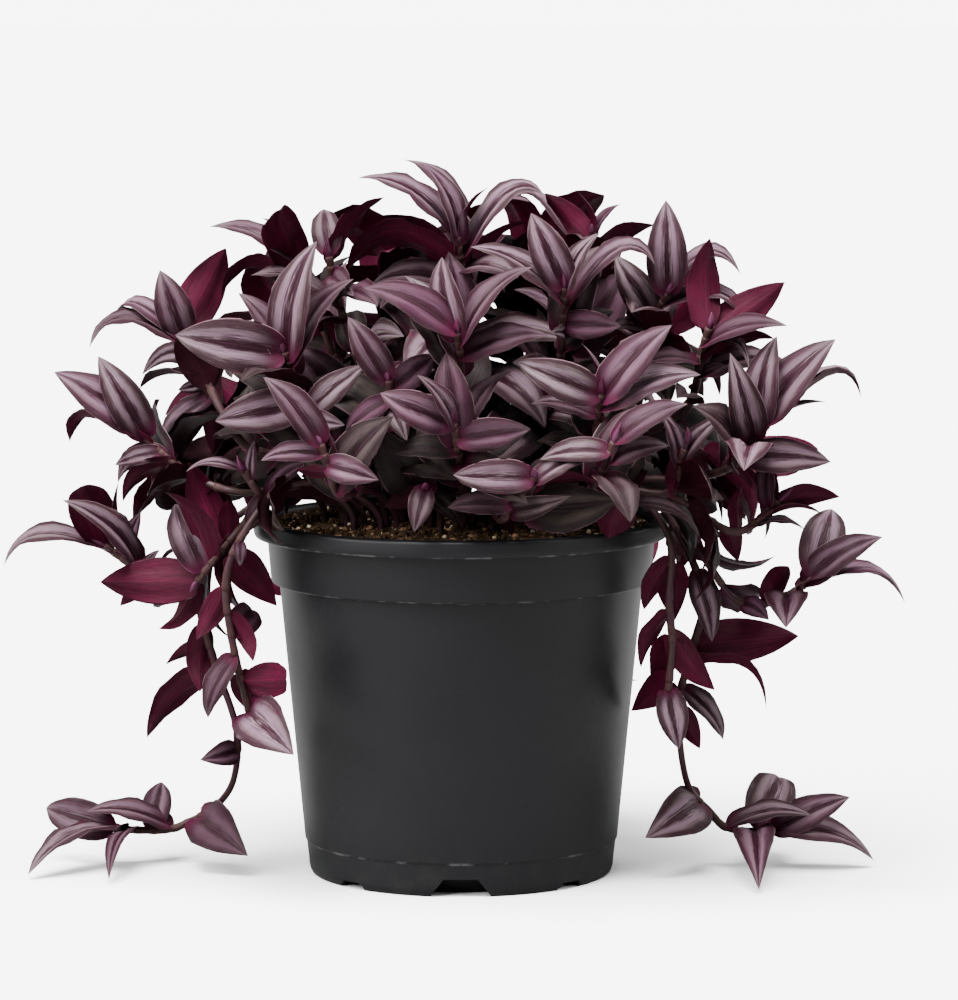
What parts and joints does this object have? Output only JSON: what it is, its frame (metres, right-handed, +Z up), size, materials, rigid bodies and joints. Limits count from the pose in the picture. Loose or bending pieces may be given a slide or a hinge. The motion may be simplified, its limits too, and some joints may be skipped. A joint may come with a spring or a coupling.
{
  "type": "potted trailing plant",
  "caption": "Bushy trailing spiderwort with silver-striped purple leaves, growing in a round plastic nursery pot with stems hanging over the rim.",
  "frame": {"origin": "centre of the pot's base, on the surface that it stands on", "axes": "+Z up along the pot's axis, -Y towards the front that the picture shows, +X to the right in that view"},
  "size_m": [0.4071, 0.2613, 0.3272],
  "materials": {
    "pot_plastic": "matte charcoal injection-moulded plastic",
    "potting_soil": "rough brown peat with pale bits",
    "foliage": "satin leaf, striped silver and purple above, burgundy below"
  },
  "bodies": {
    "root": {"pot": "pot_plastic", "soil": "potting_soil", "shoot_upper_left": "foliage", "shoot_left": "foliage", "shoot_left_rear": "foliage", "shoot_left_centre": "foliage", "shoot_top_left": "foliage", "shoot_top_left_inner": "foliage", "shoot_top": "foliage", "shoot_centre": "foliage", "shoot_right_centre": "foliage", "shoot_top_right": "foliage", "shoot_right_upper": "foliage", "shoot_right_upper_front": "foliage", "shoot_right": "foliage", "shoot_right_low": "foliage", "shoot_far_right": "foliage", "shoot_right_inner": "foliage", "shoot_front_left": "foliage", "shoot_front_left_upper": "foliage", "shoot_front_middle_left": "foliage", "shoot_front_middle": "foliage", "shoot_front_middle_right": "foliage", "shoot_front_right": "foliage", "shoot_front_centre": "foliage", "shoot_front_low": "foliage", "shoot_front_low_left": "foliage", "shoot_front_low_right": "foliage", "shoot_left_rim": "foliage", "shoot_far_left": "foliage", "shoot_left_low": "foliage", "trail_left_front": "foliage", "trail_left": "foliage", "trail_right": "foliage", "trail_right_inner": "foliage", "shoot_rear_1": "foliage", "shoot_rear_2": "foliage", "shoot_rear_3": "foliage", "shoot_rear_4": "foliage", "shoot_rear_5": "foliage", "shoot_rear_6": "foliage", "shoot_rear_7": "foliage", "shoot_rear_8": "foliage", "shoot_rear_9": "foliage", "shoot_rear_10": "foliage", "shoot_rear_11": "foliage", "shoot_rear_12": "foliage", "shoot_inner_13": "foliage", "shoot_inner_14": "foliage", "shoot_inner_15": "foliage", "shoot_inner_16": "foliage", "shoot_inner_17": "foliage", "shoot_inner_18": "foliage", "trail_rear_1": "foliage", "trail_rear_2": "foliage"}
  },
  "joints": []
}
